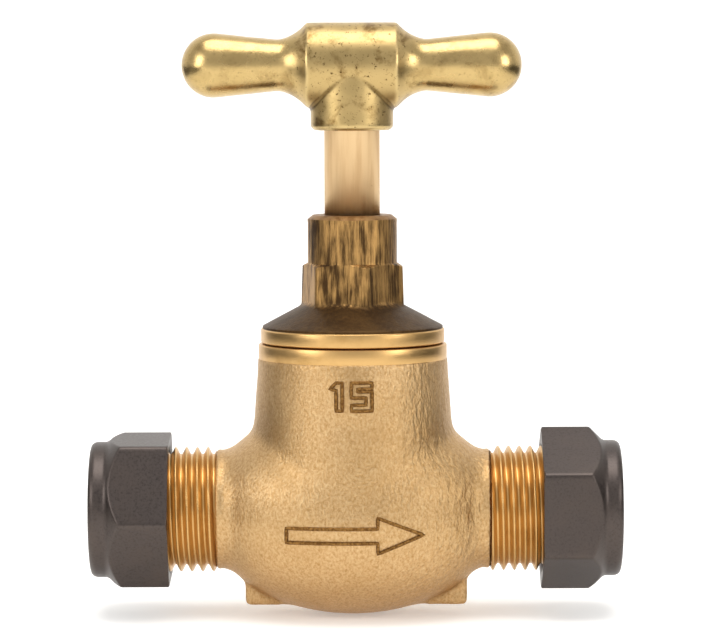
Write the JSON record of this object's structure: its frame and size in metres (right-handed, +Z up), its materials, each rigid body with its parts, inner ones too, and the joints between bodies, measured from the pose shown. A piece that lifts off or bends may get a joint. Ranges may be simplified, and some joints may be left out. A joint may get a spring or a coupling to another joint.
{
  "type": "stop valve",
  "caption": "Straight screw-down stop valve with compression ends: a T handle turns a rising spindle that lifts a jumper off the seat.",
  "frame": {"origin": "where the centre line of the pipe run crosses the spindle's axis", "axes": "+Z up along the spindle to the handle, +X along the pipe run from inlet to outlet, +Y to the back"},
  "size_m": [0.089, 0.036, 0.0995],
  "materials": {
    "cast_brass": "sand-cast and shot-blasted, matt",
    "forged_brass": "hot-forged with a dark skin",
    "turned_brass": "turned bright",
    "polished_brass": "tumbled and half polished",
    "dark_nut_brass": "dark satin",
    "fibre": "vulcanised fibre, matt",
    "rubber": "moulded, matt"
  },
  "bodies": {
    "body": {"valve_body": "cast_brass", "bonnet": "forged_brass", "bonnet_gasket": "fibre"},
    "jumper": {"jumper": "turned_brass", "jumper_washer": "rubber", "jumper_nut": "turned_brass"},
    "spindle": {"spindle": "turned_brass", "lower_seal_ring": "rubber", "upper_seal_ring": "rubber", "thrust_washer": "turned_brass", "t_handle": "polished_brass", "handle_pin": "turned_brass"},
    "inlet_olive": {"inlet_olive": "turned_brass"},
    "outlet_olive": {"outlet_olive": "turned_brass"},
    "inlet_nut": {"inlet_nut": "dark_nut_brass"},
    "outlet_nut": {"outlet_nut": "dark_nut_brass"}
  },
  "joints": [
    {"name": "jumper_lift", "type": "slide", "parent": "body", "child": "jumper", "axis": [0, 0, 1], "range_m": [-0.00551, 0]},
    {"name": "spindle_turn", "type": "hinge", "parent": "jumper", "child": "spindle", "pos_m": [0, 0, 0.05], "axis": [0, 0, 1], "range_deg": [-990, 0]},
    {"name": "inlet_olive_slide", "type": "slide", "parent": "body", "child": "inlet_olive", "axis": [-1, 0, 0], "range_m": [0, 0.00455]},
    {"name": "inlet_nut_turn", "type": "hinge", "parent": "inlet_olive", "child": "inlet_nut", "pos_m": [-0.038, 0, 0], "axis": [-1, 0, 0], "range_deg": [0, 900]},
    {"name": "outlet_olive_slide", "type": "slide", "parent": "body", "child": "outlet_olive", "axis": [1, 0, 0], "range_m": [0, 0.00455]},
    {"name": "outlet_nut_turn", "type": "hinge", "parent": "outlet_olive", "child": "outlet_nut", "pos_m": [0.038, 0, 0], "axis": [1, 0, 0], "range_deg": [0, 900]}
  ],
  "couplings": [
    {"joint": "jumper_lift", "follows": "spindle_turn", "m_per_rad": 0.00031831},
    {"joint": "inlet_olive_slide", "follows": "inlet_nut_turn", "m_per_rad": 0.00028871},
    {"joint": "outlet_olive_slide", "follows": "outlet_nut_turn", "m_per_rad": 0.00028871}
  ]
}
